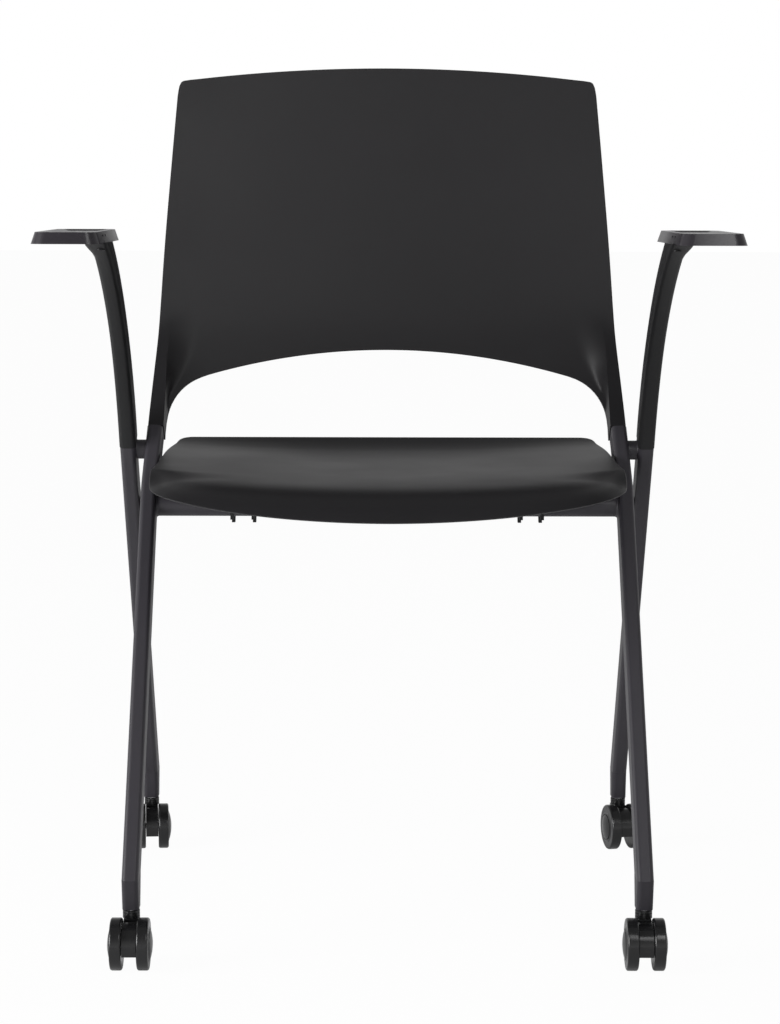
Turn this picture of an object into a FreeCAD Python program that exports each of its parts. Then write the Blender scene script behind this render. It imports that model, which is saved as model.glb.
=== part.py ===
import FreeCAD, Part
import math
import os
import Sketcher
from FreeCAD import Placement, Rotation, Vector

# Nesting chair: two X-shaped side frames on casters, a flip-up seat, a moulded back and arms.
# Frame: +Z up, the chair faces -Y, origin on the floor under the middle of the chair. Millimetres.

SIZES = {
    # steel tube of the side frames
    "tube_width": 16,
    "tube_depth": 30,
    "tube_corner": 4.5,
    "tube_wall": 2,
    "plug_gap": 0.05,
    # side frame layout, seen from the side
    "front_stem_x": 245,
    "front_stem_y": -228,
    "rear_stem_x": 263.9,
    "rear_stem_y": 262,
    "leg_cut_z": 86,
    "hub_x": 268.3,
    "hub_y": 55,
    "hub_z": 469,
    "front_leg_length": 497,
    "front_bend_at": 425,
    "front_bend_radius": 400,
    "front_bend_angle": 2.9,
    "rear_leg_length": 446,
    # welded parts between the tubes
    "bridge_radius": 10,
    "bridge_flare": 2.3,
    "rest_rail_radius": 11,
    "rest_rail_y": 15,
    "rest_rail_z": 415,
    "rest_rail_flare": 3,
    "hinge_rail_radius": 8,
    "hinge_rail_y": 88,
    "hinge_rail_z": 408,
    "rail_wall": 2,
    # arm posts and pads
    "arm_width": 17,
    "arm_depth_low": 30,
    "arm_depth_high": 23,
    "arm_corner": 4.5,
    "arm_radius": 484,
    "arm_lean_out": 6,
    "arm_plug_length": 60,
    "pad_width": 65,
    "pad_length": 215,
    "pad_height": 11,
    "pad_corner": 14,
    "pad_draft": 3.5,
    "pad_inner_x": 268.5,
    "pad_front_y": -241,
    "pad_under_z": 687,
    # back
    "back_thickness": 5,
    "back_plan_radius": 1150,
    "back_top_z": 868.5,
    "back_corner_z": 853,
    "back_top_x": 224,
    "back_corner_radius": 7,
    "arch_top_z": 567,
    "arch_radius": 723,
    "arch_corner_radius": 50,
    "arch_side_x": 232.3,
    "horn_plug_length": 66,
    # seat
    "seat_thickness": 8,
    "seat_half_width": 233.6,
    "seat_rear_y": 164,
    "seat_dish": 9,
    "seat_rear_corner": 16,
    # seat brackets
    "bracket_x": 147.8,
    "bracket_width": 25,
    "rib_width": 3.4,
    "saddle_gap": 1.5,
    "hinge_wall": 4,
    "rest_pad_height": 3,
    "moving_gap": 0.3,
    # casters
    "wheel_radius": 25,
    "wheel_width": 11.2,
    "wheel_edge": 2,
    "wheel_side_gap": 0.4,
    "caster_trail": 18,
    "fork_width": 13.6,
    "fork_radius": 20.5,
    "fork_low_z": 17,
    "cap_radius": 17.5,
    "cap_rise": 3.2,
    "axle_radius": 3,
    "running_gap": 0.05,
    "collar_radius": 8.25,
    "collar_low_z": 46.5,
    "collar_high_z": 54.4,
    "stem_radius": 5.5,
    "stem_pin_radius": 4,
    "stem_flange_radius": 7.4,
    "ferrule_low_z": 56,
    "ferrule_low_depth": 23,
    "rear_left_yaw": 5,
    "rear_right_yaw": 12,
    # screws
    "screw_radius": 2.4,
    "screw_head_radius": 4.6,
    "screw_head_height": 2.4,
}

doc = FreeCAD.newDocument("nesting_chair")
sheet = doc.addObject("Spreadsheet::Sheet", "dims")
for row, (alias, value) in enumerate(SIZES.items(), 1):
    sheet.set("A%d" % row, alias)
    sheet.set("B%d" % row, str(value))
    sheet.setAlias("B%d" % row, alias)
doc.recompute()

parts = []


def size(alias):
    """the value of a cell, in millimetres or degrees"""
    return float(sheet.get(alias))


def keep(thing, name):
    """name a finished piece and put it on the list of pieces to write"""
    thing.Label = name
    parts.append(thing)
    return thing


def bind(thing, **cells):
    """tie properties of an object to cells, or to formulas on cells"""
    for prop, formula in cells.items():
        thing.setExpression(prop, formula)


# Sketch helpers

def turned(origin, along, across=Vector(1, 0, 0)):
    """a placement whose Z points along one direction and whose X is near another"""
    return Placement(origin, Rotation(across, Vector(), along, "ZXY"))


def sketch_at(body, name, place):
    """a sketch on the body's XY plane, offset to a placement"""
    plane = next(f for f in body.Origin.OriginFeatures if f.Role == "XY_Plane")
    sketch = body.newObject("Sketcher::SketchObject", name)
    sketch.AttachmentSupport = [(plane, "")]
    sketch.MapMode = "FlatFace"
    sketch.AttachmentOffset = place
    return sketch


def bound(sketch, constraint, name, formula):
    """add a named dimension and tie it to the sheet"""
    index = sketch.addConstraint(constraint)
    sketch.renameConstraint(index, name)
    sketch.setExpression("Constraints." + name, formula)


def rounded_rectangle(sketch, width, depth, radius, values):
    """a closed rounded rectangle round the sketch's origin, tied to three formulas"""
    half_w, half_d, r = values[0] / 2, values[1] / 2, values[2]
    centres = [(half_w - r, -half_d + r), (half_w - r, half_d - r),
               (-half_w + r, half_d - r), (-half_w + r, -half_d + r)]
    turn = [270, 0, 90, 180]
    for (x, y), start in zip(centres, turn):
        circle = Part.Circle(Vector(x, y, 0), Vector(0, 0, 1), r)
        sketch.addGeometry(Part.ArcOfCircle(circle, math.radians(start), math.radians(start + 90)))
    for i in range(4):
        a = sketch.getPoint(i, 2)
        b = sketch.getPoint((i + 1) % 4, 1)
        sketch.addGeometry(Part.LineSegment(a, b))
    for i in range(4):
        sketch.addConstraint(Sketcher.Constraint("Tangent", i, 2, 4 + i, 1))
        sketch.addConstraint(Sketcher.Constraint("Tangent", 4 + i, 2, (i + 1) % 4, 1))
    for line in (4, 6):
        sketch.addConstraint(Sketcher.Constraint("Vertical", line))
    for line in (5, 7):
        sketch.addConstraint(Sketcher.Constraint("Horizontal", line))
    for i in (1, 2, 3):
        sketch.addConstraint(Sketcher.Constraint("Equal", 0, i))
    sketch.addConstraint(Sketcher.Constraint("Symmetric", 0, 3, 2, 3, -1, 1))
    bound(sketch, Sketcher.Constraint("Radius", 0, r), "radius", radius)
    bound(sketch, Sketcher.Constraint("DistanceX", 6, 1, 4, 1, 2 * half_w), "width", width)
    bound(sketch, Sketcher.Constraint("DistanceY", 7, 1, 5, 1, 2 * half_d), "depth", depth)


def tube_section(body, name, place, shrink="0", shrink_value=0.0):
    """the flat-oval tube's outline, drawn in all round by a formula"""
    sketch = sketch_at(body, name, place)
    rounded_rectangle(sketch,
                      "dims.tube_width - 2 * (%s)" % shrink,
                      "dims.tube_depth - 2 * (%s)" % shrink,
                      "dims.tube_corner - (%s)" % shrink,
                      (size("tube_width") - 2 * shrink_value, size("tube_depth") - 2 * shrink_value,
                       size("tube_corner") - shrink_value))
    return sketch


def new_body(name):
    return doc.addObject("PartDesign::Body", name)


def pad(body, sketch, formula, name="pad"):
    feature = body.newObject("PartDesign::Pad", name)
    feature.Profile = sketch
    feature.Length = 10
    feature.setExpression("Length", formula)
    sketch.Visibility = False
    return feature


def loft(body, sketches, name="loft"):
    feature = body.newObject("PartDesign::AdditiveLoft", name)
    feature.Profile = sketches[0]
    feature.Sections = sketches[1:]
    return feature


def cylinder(name, place, radius, height):
    """a cylinder along the placement's Z, tied to the sheet"""
    thing = doc.addObject("Part::Cylinder", name)
    bind(thing, Radius=radius, Height=height)
    thing.Placement = place
    return thing


def cut(base, tool, name="cut"):
    thing = doc.addObject("Part::Cut", name)
    thing.Base = base
    thing.Tool = tool
    return thing


def fuse(things, name="fuse"):
    thing = doc.addObject("Part::MultiFuse", name)
    thing.Shapes = things
    return thing


def common(things, name="common"):
    thing = doc.addObject("Part::MultiCommon", name)
    thing.Shapes = things
    return thing


def group(things, name="group"):
    thing = doc.addObject("Part::Compound", name)
    thing.Links = things
    return thing


def shape(solid, name="shape"):
    """a piece whose form comes straight from points and curves"""
    thing = doc.addObject("Part::Feature", name)
    thing.Shape = solid
    return thing


def wire(points):
    return Part.Wire([Part.LineSegment(a, b).toShape() for a, b in zip(points, points[1:])])


def spline(points, start=None, end=None):
    curve = Part.BSplineCurve()
    if start is None:
        curve.interpolate(points)
    else:
        curve.interpolate(points, InitialTangent=start, FinalTangent=end)
    return curve.toShape()


# Directions and points of the side frames

FRONT_FOOT_Y = size("front_stem_y")
CUT_Z = size("leg_cut_z")
FRONT_UP = Vector(0, size("hub_y") - FRONT_FOOT_Y, size("hub_z") - CUT_Z).normalize()
FOOT_BELOW = 16


def front_path(side):
    """start, bend and end of the front leg's centre line, and its direction above the bend"""
    foot = Vector(side * size("front_stem_x"), FRONT_FOOT_Y, CUT_Z)
    lean = math.radians(size("front_bend_angle"))
    above = FRONT_UP * math.cos(lean) + Vector(-side * math.sin(lean), 0, 0)
    bend = foot + FRONT_UP * size("front_bend_at")
    end = bend + above * (size("front_leg_length") - size("front_bend_at"))
    return foot, bend, end, above


def rear_path(side):
    foot = Vector(side * size("rear_stem_x"), size("rear_stem_y"), CUT_Z)
    hub = Vector(side * size("hub_x"), size("hub_y"), size("hub_z"))
    up = (hub - foot).normalize()
    return foot, foot + up * size("rear_leg_length"), up


def below_cut(name):
    """everything under the level at which the legs are cut for their ferrules"""
    box = doc.addObject("Part::Box", name)
    bind(box, Length="800", Width="800", Height="200")
    box.Placement.Base = Vector(-400, -400, CUT_Z - 200)
    return box


# Screws

def screw(name, head_point, into, shank_length):
    """a domed-head screw: the head stands on head_point and the shank goes into the piece"""
    place = turned(head_point, into)
    shank = cylinder(name + "_shank", place, "dims.screw_radius", str(shank_length))
    head_base = turned(head_point - into * size("screw_head_height"), into)
    head = cylinder(name + "_head", head_base, "dims.screw_head_radius", "dims.screw_head_height")
    return fuse([head, shank], name)


def screw_hole(name, head_point, into, shank_length):
    start = head_point - into * 5
    return cylinder(name, turned(start, into), "dims.screw_radius + dims.running_gap",
                    str(shank_length + 5 + size("running_gap")))


# Side frame tubes

def leg_tube(name, outer, inner, holes):
    """a hollow leg: the outer bar less the bore, cut level at its foot, with its screw holes"""
    hollow = cut(outer, inner, name + "_hollow")
    level = cut(hollow, below_cut(name + "_level"), name + "_cut")
    return cut(level, group(holes, name + "_holes"), name) if holes else level


def bent_bar(name, side, shrink, shrink_value):
    """the front leg's bar: straight, then leaning inwards above the bend"""
    body = new_body(name)
    foot, bend, end, above = front_path(side)
    start = foot - FRONT_UP * FOOT_BELOW
    section = tube_section(body, name + "_section", turned(start, FRONT_UP), shrink, shrink_value)
    normal = Vector(1, 0, 0).cross(FRONT_UP)
    spine = sketch_at(body, name + "_spine",
                      Placement(start, Rotation(Vector(1, 0, 0), FRONT_UP, normal, "ZXY")))
    radius = size("front_bend_radius")
    lean = math.radians(size("front_bend_angle"))
    set_back = radius * math.tan(lean / 2)
    straight = FOOT_BELOW + size("front_bend_at") - set_back
    top = size("front_leg_length") - size("front_bend_at")
    low = Vector(0, straight, 0)
    high = Vector(-side * math.sin(lean), math.cos(lean), 0)
    corner = Vector(0, straight + set_back, 0)
    middle_turn = lean / 2
    centre = Vector(-side * radius, straight, 0)
    middle = centre + Vector(side * math.cos(middle_turn), math.sin(middle_turn), 0) * radius
    spine.addGeometry(Part.LineSegment(Vector(0, 0, 0), low))
    spine.addGeometry(Part.Arc(low, middle, corner + high * set_back))
    spine.addGeometry(Part.LineSegment(corner + high * set_back, corner + high * top))
    pipe = body.newObject("PartDesign::AdditivePipe", name + "_pipe")
    pipe.Profile = section
    pipe.Spine = spine
    return body


def straight_bar(name, side, shrink, shrink_value):
    body = new_body(name)
    foot, end, up = rear_path(side)
    section = tube_section(body, name + "_section", turned(foot - up * FOOT_BELOW, up),
                           shrink, shrink_value)
    pad(body, section, "dims.rear_leg_length + %g" % FOOT_BELOW)
    return body


def behind(point, up):
    """the point on the rear face of a tube, level with a point of its centre line, and the way in"""
    into = up.cross(Vector(1, 0, 0)).normalize()
    if into.y > 0:
        into = into * -1
    return point - into * (size("tube_depth") / 2), into


SCREW_STEPS = (18, 44)
SCREW_DEPTH = 12
SIDES = {"left": -1, "right": 1}

front_bars = {}
rear_bars = {}
back_screws = []
arm_screws = []
plug_holes = {}
for word, side in SIDES.items():
    foot, bend, end, above = front_path(side)
    holes = []
    for i, step in enumerate(SCREW_STEPS):
        head, into = behind(end - above * step, above)
        back_screws.append(screw("back_screw_%s_%d" % (word, i), head, into, SCREW_DEPTH))
        holes.append(screw_hole("back_hole_%s_%d" % (word, i), head, into, SCREW_DEPTH))
    plug_holes["back", word] = holes
    front_bars[word] = bent_bar("front_bar_" + word, side, "0", 0)
    bore = bent_bar("front_bore_" + word, side, "dims.tube_wall", size("tube_wall"))
    keep(leg_tube("front_leg_tube_" + word, front_bars[word], bore, holes), "front_leg_" + word)

    foot, end, up = rear_path(side)
    holes = []
    for i, step in enumerate(SCREW_STEPS):
        head, into = behind(end - up * step, up)
        arm_screws.append(screw("arm_screw_%s_%d" % (word, i), head, into, SCREW_DEPTH))
        holes.append(screw_hole("arm_hole_%s_%d" % (word, i), head, into, SCREW_DEPTH))
    plug_holes["arm", word] = holes
    rear_bars[word] = straight_bar("rear_bar_" + word, side, "0", 0)
    bore = straight_bar("rear_bore_" + word, side, "dims.tube_wall", size("tube_wall"))
    keep(leg_tube("rear_leg_tube_" + word, rear_bars[word], bore, holes), "rear_leg_" + word)

keep(group(back_screws, "back_screw_set"), "back_screws")
keep(group(arm_screws, "arm_screw_set"), "arm_screws")


def plug(name, end, along, length):
    """the moulded plug that fills a tube's bore, from the tube's end down"""
    body = new_body(name)
    section = tube_section(body, name + "_section", turned(end - along * length, along),
                           "dims.tube_wall + dims.plug_gap", size("tube_wall") + size("plug_gap"))
    pad(body, section, "%g" % length)
    return body


def revolved(name, place, edges):
    """a body turned about its own X axis from a closed outline above that axis"""
    body = new_body(name)
    sketch = sketch_at(body, name + "_outline", Placement())
    for edge in edges:
        sketch.addGeometry(edge)
    turn = body.newObject("PartDesign::Revolution", name + "_turn")
    turn.Profile = sketch
    turn.ReferenceAxis = (sketch, ["H_Axis"])
    turn.Angle = 360
    body.Placement = place
    return body


def closed(*points):
    """straight edges through the points and back to the first"""
    ring = list(points) + [points[0]]
    return [Part.LineSegment(a, b) for a, b in zip(ring, ring[1:])]


def flared_outline(low, high, radius, flare, bore=0.0):
    """half outline of a spool whose ends flare out in a quarter round"""
    edge = radius + flare
    mid = flare * (1 - math.cos(math.pi / 4))
    corner = radius + mid
    return [
        Part.LineSegment(Vector(low, bore, 0), Vector(low, edge, 0)),
        Part.Arc(Vector(low, edge, 0), Vector(low + mid, corner, 0), Vector(low + flare, radius, 0)),
        Part.LineSegment(Vector(low + flare, radius, 0), Vector(high - flare, radius, 0)),
        Part.Arc(Vector(high - flare, radius, 0), Vector(high - mid, corner, 0), Vector(high, edge, 0)),
        Part.LineSegment(Vector(high, edge, 0), Vector(high, bore, 0)),
        Part.LineSegment(Vector(high, bore, 0), Vector(low, bore, 0)),
    ]


# Arm posts: one long arc from the rear leg's end to the underside of the pad

ARM_END_ANGLE = 72
ARM_STATIONS = 7


def arm_stations(side):
    """(placement, share of the way) along the arc, starting at the end of the rear leg"""
    foot, end, up = rear_path(side)
    start_angle = math.atan2(-up.y, up.z)
    radius = size("arm_radius")
    last = math.radians(ARM_END_ANGLE)
    for i in range(ARM_STATIONS):
        share = i / (ARM_STATIONS - 1)
        angle = start_angle + (last - start_angle) * share
        out = side * size("arm_lean_out") * share * share
        point = end + Vector(out, radius * (math.cos(angle) - math.cos(start_angle)),
                             radius * (math.sin(angle) - math.sin(start_angle)))
        along = up if i == 0 else Vector(0, -math.sin(angle), math.cos(angle))
        yield turned(point, along), share


PAD_SCREW_Y = (-184, -158)
PAD_SCREW_Z = 683
PAD_SCREW_DEPTH = 12
PAD_SCREW_WELL = 5
# share of the pad's height, and how far its outline is drawn in there beyond the draft
PAD_LEVELS = [(0, 0), (0.77, 0), (0.9, 0.5), (0.97, 1.3), (1, 2.5)]
arm_posts = {}
pad_screws = []
for word, side in SIDES.items():
    body = new_body("arm_post_" + word)
    sections = []
    for i, (place, share) in enumerate(arm_stations(side)):
        slim = min(1.0, share / 0.45)
        formula = "dims.arm_depth_low + (dims.arm_depth_high - dims.arm_depth_low) * %g" % slim
        deep = size("arm_depth_low") + (size("arm_depth_high") - size("arm_depth_low")) * slim
        section = sketch_at(body, "arm_section_%s_%d" % (word, i), place)
        rounded_rectangle(section, "dims.arm_width", formula, "dims.arm_corner",
                          (size("arm_width"), deep, size("arm_corner")))
        sections.append(section)
    loft(body, sections, "arm_loft_" + word)
    above_pad = doc.addObject("Part::Box", "above_pad_" + word)
    bind(above_pad, Length="800", Width="800", Height="100")
    above_pad.Placement.Base = Vector(-400, -400, size("pad_under_z"))
    trimmed = arm_posts[word] = cut(body, above_pad, "arm_trimmed_" + word)

    foot, end, up = rear_path(side)
    arm_plug = plug("arm_plug_" + word, end, up, size("arm_plug_length"))
    whole = fuse([trimmed, arm_plug], "arm_whole_" + word)
    top = list(arm_stations(side))[-2][0].Base
    holes = list(plug_holes["arm", word])
    pad_holes = []
    for i, y in enumerate(PAD_SCREW_Y):
        point = Vector(side * abs(top.x), y, PAD_SCREW_Z)
        up_z = Vector(0, 0, 1)
        name = "pad_screw_%s_%d" % (word, i)
        pad_screws.append(screw(name, point, up_z, PAD_SCREW_DEPTH))
        pad_holes.append(screw_hole(name + "_hole", point, up_z, PAD_SCREW_DEPTH))
        well = cylinder(name + "_well", Placement(point - up_z * 30, Rotation()),
                        "%g" % PAD_SCREW_WELL, "30")
        holes.append(well)
    keep(cut(whole, group(holes + pad_holes, "arm_holes_" + word), "arm_cut_" + word), "arm_" + word)

    pad_body = new_body("arm_pad_body_" + word)
    middle = Vector(side * (size("pad_inner_x") + size("pad_width") / 2),
                    size("pad_front_y") + size("pad_length") / 2, size("pad_under_z"))
    levels = []
    for i, (share, extra) in enumerate(PAD_LEVELS):
        raised = middle + Vector(0, 0, size("pad_height") * share)
        level = sketch_at(pad_body, "pad_level_%s_%d" % (word, i), Placement(raised, Rotation()))
        inset = size("pad_draft") * share + extra
        formula = "dims.pad_draft * %g + %g" % (share, extra)
        rounded_rectangle(level, "dims.pad_width - 2 * (%s)" % formula,
                          "dims.pad_length - 2 * (%s)" % formula, "dims.pad_corner - (%s)" % formula,
                          (size("pad_width") - 2 * inset, size("pad_length") - 2 * inset,
                           size("pad_corner") - inset))
        levels.append(level)
    pad_loft = loft(pad_body, levels, "pad_loft_" + word)
    pad_loft.Ruled = True
    keep(cut(pad_body, group(pad_holes, "pad_holes_" + word), "pad_cut_" + word),
         "arm_pad_" + word)
keep(group(pad_screws, "pad_screw_set"), "pad_screws")


# Welded parts: hub bridges and the two rails

for word, side in SIDES.items():
    inner = size("hub_x") - size("tube_width") / 2 + 0.8
    outer = inner - 12
    spool = revolved("bridge_spool_" + word, Placement(Vector(0, size("hub_y"), size("hub_z")), Rotation()),
                     flared_outline(*sorted((side * inner, side * outer)),
                                    size("bridge_radius"), size("bridge_flare")))
    tubes = group([front_bars[word], rear_bars[word], arm_posts[word]], "bridge_neighbours_" + word)
    keep(cut(spool, tubes, "bridge_cut_" + word), "hub_bridge_" + word)

rail_end = size("front_stem_x") - size("tube_width") / 2
keep(revolved("rest_rail", Placement(Vector(0, size("rest_rail_y"), size("rest_rail_z")), Rotation()),
              flared_outline(-rail_end, rail_end, size("rest_rail_radius"), size("rest_rail_flare"),
                             size("rest_rail_radius") - size("rail_wall"))),
     "seat_rest_rail")

HINGE_RAIL_REACH = 262
hinge_start = Vector(-HINGE_RAIL_REACH, size("hinge_rail_y"), size("hinge_rail_z"))
sideways = turned(hinge_start, Vector(1, 0, 0), Vector(0, 1, 0))
rail_bar = cylinder("hinge_rail_bar", sideways, "dims.hinge_rail_radius", str(2 * HINGE_RAIL_REACH))
rail_bore = cylinder("hinge_rail_bore", sideways, "dims.hinge_rail_radius - dims.rail_wall",
                     str(2 * HINGE_RAIL_REACH))
rail_tube = cut(rail_bar, rail_bore, "hinge_rail_tube")
keep(cut(rail_tube, group([rear_bars["left"], rear_bars["right"]], "hinge_rail_ends"), "hinge_rail_cut"),
     "hinge_rail")


# Back: a panel curved in plan and in height, cut to its outline, with two horns that plug into the tubes

# height, and how far back the middle of the panel lies there
BACK_LEVELS = [(468, 100), (520, 131), (560, 152), (600, 168), (650, 183), (725, 201.5), (800, 217),
               (885, 234)]
BACK_SIDE = [(249.6, 466), (243.6, 572), (237.8, 680), (225.2, 846)]
HORN_STATIONS = [(520, 94, 30, 240, 15.4, 26), (555, 117.3, 24, 238.4, 12.4, 17),
                 (594, 140, 19, 236.4, 8.5, 5.6)]


def back_panel():
    """the panel as a loft of curved bands, one above the other"""
    body = new_body("back_panel")
    radius = size("back_plan_radius")
    half = size("back_thickness") / 2
    spread = math.asin(262 / radius)
    sections = []
    for i, (z, y) in enumerate(BACK_LEVELS):
        sketch = sketch_at(body, "back_level_%d" % i, Placement(Vector(0, 0, z), Rotation()))
        centre = Vector(0, y - radius, 0)

        def on_arc(r, angle):
            return centre + Vector(math.sin(angle), math.cos(angle), 0) * r

        back = radius + half
        front = radius - half
        sketch.addGeometry(Part.Arc(on_arc(back, -spread), on_arc(back, 0), on_arc(back, spread)))
        sketch.addGeometry(Part.LineSegment(on_arc(back, spread), on_arc(front, spread)))
        sketch.addGeometry(Part.Arc(on_arc(front, spread), on_arc(front, 0), on_arc(front, -spread)))
        sketch.addGeometry(Part.LineSegment(on_arc(front, -spread), on_arc(back, -spread)))
        sections.append(sketch)
    loft(body, sections, "back_loft")
    return body


def back_outline():
    """the back's outline seen from the front, as a deep block: sides, arched top and open arch below"""
    low_z = BACK_SIDE[0][1]
    big = size("arch_radius")
    small = size("arch_corner_radius")
    side_x = size("arch_side_x")
    big_z = size("arch_top_z") - big
    small_z = big_z + math.sqrt((big - small) ** 2 - (side_x - small) ** 2)
    reach = big / (big - small)
    touch = Vector((side_x - small) * reach, 0, big_z + (small_z - big_z) * reach)
    slope = math.atan2(small_z - big_z, side_x - small) / 2
    knuckle = Vector(side_x - small + small * math.cos(slope), 0, small_z + small * math.sin(slope))

    corner = size("back_corner_radius")
    top_x = size("back_top_x") - corner
    rise = size("back_top_z") - size("back_corner_z")
    top_corner = Vector(top_x, 0, size("back_top_z") - rise * (top_x / size("back_top_x")) ** 2)
    side_points = [Vector(x, 0, z) for x, z in BACK_SIDE]
    shoulder = side_points[-1]
    bulge = Vector(shoulder.x - corner * 0.22, 0, top_corner.z - corner * 0.2)

    half = [
        Part.LineSegment(Vector(side_x, 0, low_z), Vector(side_x, 0, small_z)).toShape(),
        Part.Arc(Vector(side_x, 0, small_z), knuckle, touch).toShape(),
        Part.LineSegment(side_points[0], Vector(side_x, 0, low_z)).toShape(),
        spline(side_points),
        Part.Arc(shoulder, bulge, top_corner).toShape(),
    ]
    mirrored = [edge.mirror(Vector(), Vector(1, 0, 0)) for edge in half]
    across = [
        Part.Arc(touch, Vector(0, 0, size("arch_top_z")), Vector(-touch.x, 0, touch.z)).toShape(),
        Part.Arc(top_corner, Vector(0, 0, size("back_top_z")),
                 Vector(-top_corner.x, 0, top_corner.z)).toShape(),
    ]
    ring = Part.Wire(Part.__sortEdges__(half + mirrored + across))
    face = Part.Face(ring)
    return shape(face.extrude(Vector(0, 400, 0)), "back_outline")


def horn(word, side):
    """the thick foot of the back's side, from the tube's end up into the panel"""
    body = new_body("horn_" + word)
    foot, bend, end, above = front_path(side)
    sections = [tube_section(body, "horn_foot_" + word, turned(end, above))]
    for i, (z, y, lean, x, width, depth) in enumerate(HORN_STATIONS):
        along = Vector(0, math.sin(math.radians(lean)), math.cos(math.radians(lean)))
        section = sketch_at(body, "horn_section_%s_%d" % (word, i), turned(Vector(side * x, y, z), along))
        radius = min(size("tube_corner"), depth * 0.3)
        rounded_rectangle(section, "%g" % width, "%g" % depth, "%g" % radius, (width, depth, radius))
        sections.append(section)
    loft(body, sections, "horn_loft_" + word)
    return body


outline = back_outline()
panel = common([back_panel(), outline], "back_sheet")
below_horns = []
horns = []
for word, side in SIDES.items():
    foot, bend, end, above = front_path(side)
    box = doc.addObject("Part::Box", "below_horn_" + word)
    bind(box, Length="60", Width="160", Height="80")
    square = turned(end, above)
    box.Placement = square.multiply(Placement(Vector(-30, -80, -80), Rotation()))
    below_horns.append(box)
    horns.append(horn(word, side))
    horns.append(plug("horn_plug_" + word, end, above, size("horn_plug_length")))
trimmed_panel = cut(panel, group(below_horns, "below_horns"), "back_trimmed")
back_whole = fuse([trimmed_panel] + horns, "back_whole")
keep(cut(back_whole, group(plug_holes["back", "left"] + plug_holes["back", "right"], "back_holes"), "back_cut"),
     "back_shell")


# Seat: a dished shell with a raised rear edge and a front that rolls down to its lip

# the height of the middle line without the roll, and how much of the sideways dish there is, front to rear
SEAT_LINE = [(-280, 455.2), (-136, 455.5), (-46, 455.5), (54, 457.5), (129, 461), (149, 466), (164, 472.5),
             (190, 484)]
SEAT_DISH_SHARE = [(-280, 1), (54, 1), (129, 0.8), (149, 0.4), (164, 0), (190, 0)]
# the right half of the outline seen from above: the front edge and the side
SEAT_FRONT = [(0, -244), (60, -242.5), (120, -238), (170, -228), (197, -216), (214, -201)]
SEAT_SIDE = [(226, -179), (231.5, -150), (233.2, -119), (231.8, -56), (231.3, 40), (228.5, 100), (224, 148)]
# the roll starts between these places on each side, and drops over this distance from the edge
ROLL_STARTS_Y = -100
ROLL_FULL_Y = -150
ROLL_REACH = 21
ROLL_DROP = 27.4
ROLL_EASE = 3.6
ROLL_EASE_X = 120
LIP_EDGE = 1.4
# the grid that carries the seat's two surfaces reaches past its outline on every side
GRID_STEPS = 32
GRID_HALF_WIDTH = 247
GRID_FRONT_Y = -260
GRID_REAR_Y = 180
GRID_PAST_EDGE = 15


def read_off(pairs, at):
    """the smooth curve through (position, value) pairs, read at one position"""
    index = max(i for i, pair in enumerate(pairs[:-1]) if i == 0 or pair[0] <= at)
    (low, low_value), (high, high_value) = pairs[index], pairs[index + 1]
    before = pairs[index - 1] if index else (2 * low - high, 2 * low_value - high_value)
    after = pairs[index + 2] if index + 2 < len(pairs) else (2 * high - low, 2 * high_value - low_value)
    span = high - low
    t = (at - low) / span
    low_slope = (high_value - before[1]) / (high - before[0]) * span
    high_slope = (after[1] - low_value) / (after[0] - low) * span
    return ((2 * t ** 3 - 3 * t ** 2 + 1) * low_value + (t ** 3 - 2 * t ** 2 + t) * low_slope
            + (3 * t ** 2 - 2 * t ** 3) * high_value + (t ** 3 - t ** 2) * high_slope)


def seat_side_curve():
    """the right half of the outline's front and side, as one smooth edge"""
    points = [Vector(x, y, 0) for x, y in SEAT_FRONT + SEAT_SIDE]
    curve = Part.BSplineCurve()
    curve.interpolate(Points=points, InitialTangent=Vector(1, 0, 0), FinalTangent=Vector(-0.15, 1, 0))
    return curve.toShape()


SEAT_RIM = seat_side_curve().discretize(160)


def inside_rim(x, y):
    """how far inside the front and side edge a point lies, negative outside"""
    point = Vector(abs(x), y, 0)
    nearest = None
    for start, end in zip(SEAT_RIM, SEAT_RIM[1:]):
        run = end - start
        t = min(max((point - start).dot(run) / run.dot(run), 0), 1)
        gap = point - (start + run * t)
        if nearest is None or gap.Length < abs(nearest):
            nearest = gap.Length if run.cross(gap).z > 0 else -gap.Length
    return nearest


def roll_drop(x):
    return ROLL_DROP - ROLL_EASE * (x / ROLL_EASE_X) ** 2


def seat_height(x, y):
    dish = size("seat_dish") * (x / size("seat_half_width")) ** 2 * read_off(SEAT_DISH_SHARE, y)
    t = min(max((y - ROLL_STARTS_Y) / (ROLL_FULL_Y - ROLL_STARTS_Y), 0), 1)
    gap = inside_rim(x, y)
    near = math.exp(-max(gap, -GRID_PAST_EDGE) / ROLL_REACH)
    if gap < -GRID_PAST_EDGE:
        near *= 1 - (gap + GRID_PAST_EDGE) / ROLL_REACH
    return read_off(SEAT_LINE, y) + dish - roll_drop(x) * t * t * (3 - 2 * t) * near


def seat_point(x, y, depth):
    """a point of the seat's top, sunk square to it by a depth"""
    z = seat_height(x, y)
    if not depth:
        return Vector(x, y, z)
    slope_x = seat_height(x + 1, y) - seat_height(x - 1, y)
    slope_y = seat_height(x, y + 1) - seat_height(x, y - 1)
    return Vector(x, y, z) - Vector(-slope_x / 2, -slope_y / 2, 1).normalize() * depth


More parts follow.
